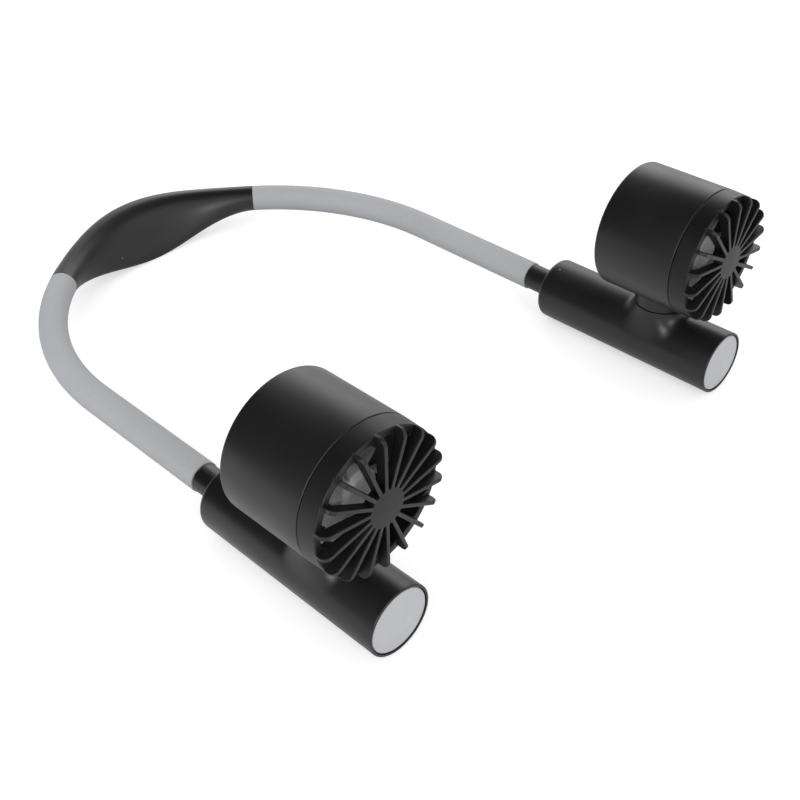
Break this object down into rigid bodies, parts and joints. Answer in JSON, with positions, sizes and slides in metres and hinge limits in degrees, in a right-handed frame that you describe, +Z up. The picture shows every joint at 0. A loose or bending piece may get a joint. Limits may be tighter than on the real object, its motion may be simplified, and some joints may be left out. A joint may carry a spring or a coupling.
{
  "type": "electric neck fan",
  "caption": "Wearable neck fan: round barrels with swivelling finned fan drums on top, joined by bendable sleeved arms to a leaf-shaped neck pod.",
  "frame": {"origin": "on the surface that the part lies on, under the middle of its length and width", "axes": "+X towards the wearer's left, +Y from the grilles back to the neck pod, +Z up from the surface"},
  "size_m": [0.2354, 0.2756, 0.0832],
  "materials": {
    "black_shell": "satin moulded shell",
    "black_grille": "satin moulded grille",
    "pale_silicone": "matt silicone sleeve",
    "pale_button": "fine matt plastic",
    "smoke_impeller": "smooth grey plastic",
    "steel": "plain steel",
    "bronze": "sintered bearing metal",
    "cell_wrap": "shrink-wrapped cell",
    "board": "coated circuit board",
    "switch": "moulded switch",
    "nylon": "natural nylon",
    "lead_sheath": "soft lead sheath"
  },
  "bodies": {
    "neck_band": {"neck_pod_shell": "black_shell", "neck_pod_cover": "black_shell", "lead_joint": "nylon", "right_arm_sleeve": "pale_silicone", "right_gooseneck_core": "steel", "right_core_ferrule": "bronze", "right_arm_lead": "lead_sheath", "left_arm_sleeve": "pale_silicone", "left_gooseneck_core": "steel", "left_core_ferrule": "bronze", "left_arm_lead": "lead_sheath"},
    "right_barrel": {"right_barrel_shell": "black_shell", "right_arm_collar": "black_shell", "right_collar_ring": "steel", "right_battery_cell": "cell_wrap", "right_control_board": "board", "right_switch_case": "switch", "right_button_carrier": "switch", "right_swivel_washer": "nylon", "right_charge_port": "steel"},
    "right_button": {"right_end_button": "pale_button", "right_button_clip": "steel"},
    "right_plunger": {"right_switch_plunger": "nylon"},
    "right_head": {"right_fan_drum": "black_shell", "right_front_grille": "black_grille", "right_rear_grille": "black_grille", "right_motor_can": "steel", "right_motor_bush": "bronze", "right_motor_screws": "steel", "right_motor_lead": "lead_sheath", "right_swivel_clip": "steel"},
    "right_rotor": {"right_impeller": "smoke_impeller", "right_motor_shaft": "steel"},
    "left_barrel": {"left_barrel_shell": "black_shell", "left_arm_collar": "black_shell", "left_collar_ring": "steel", "left_battery_cell": "cell_wrap", "left_control_board": "board", "left_switch_case": "switch", "left_button_carrier": "switch", "left_swivel_washer": "nylon"},
    "left_button": {"left_end_button": "pale_button", "left_button_clip": "steel"},
    "left_plunger": {"left_switch_plunger": "nylon"},
    "left_head": {"left_fan_drum": "black_shell", "left_front_grille": "black_grille", "left_rear_grille": "black_grille", "left_motor_can": "steel", "left_motor_bush": "bronze", "left_motor_screws": "steel", "left_motor_lead": "lead_sheath", "left_swivel_clip": "steel"},
    "left_rotor": {"left_impeller": "smoke_impeller", "left_motor_shaft": "steel"}
  },
  "joints": [
    {"name": "right_arm_flex", "type": "hinge", "parent": "neck_band", "child": "right_barrel", "pos_m": [-0.0925, 0.02516, 0.013], "axis": [0, 0, -1], "range_deg": [-15, 25], "deforming": ["right_arm_sleeve", "right_gooseneck_core", "right_arm_lead"]},
    {"name": "right_head_swivel", "type": "hinge", "parent": "right_barrel", "child": "right_head", "pos_m": [-0.0925, -0.10684, 0.058], "axis": [0, 0, 1], "range_deg": [-170, 170]},
    {"name": "right_impeller_spin", "type": "hinge", "parent": "right_head", "child": "right_rotor", "pos_m": [-0.0925, -0.12274, 0.058], "axis": [0, 1, 0], "continuous": true},
    {"name": "right_button_press", "type": "slide", "parent": "right_barrel", "child": "right_button", "axis": [0, 1, 0], "range_m": [0, 0.0006], "stiffness_N_per_m": 2000},
    {"name": "right_plunger_press", "type": "slide", "parent": "right_barrel", "child": "right_plunger", "axis": [0, 1, 0], "range_m": [0, 0.0006]},
    {"name": "left_arm_flex", "type": "hinge", "parent": "neck_band", "child": "left_barrel", "pos_m": [0.0925, 0.02516, 0.013], "axis": [0, 0, 1], "range_deg": [-15, 25], "deforming": ["left_arm_sleeve", "left_gooseneck_core", "left_arm_lead"]},
    {"name": "left_head_swivel", "type": "hinge", "parent": "left_barrel", "child": "left_head", "pos_m": [0.0925, -0.10684, 0.058], "axis": [0, 0, 1], "range_deg": [-170, 170]},
    {"name": "left_impeller_spin", "type": "hinge", "parent": "left_head", "child": "left_rotor", "pos_m": [0.0925, -0.12274, 0.058], "axis": [0, 1, 0], "continuous": true},
    {"name": "left_button_press", "type": "slide", "parent": "left_barrel", "child": "left_button", "axis": [0, 1, 0], "range_m": [0, 0.0006], "stiffness_N_per_m": 2000},
    {"name": "left_plunger_press", "type": "slide", "parent": "left_barrel", "child": "left_plunger", "axis": [0, 1, 0], "range_m": [0, 0.0006]}
  ],
  "couplings": [
    {"joint": "right_plunger_press", "follows": "right_button_press", "ratio": 1},
    {"joint": "left_plunger_press", "follows": "left_button_press", "ratio": 1}
  ]
}
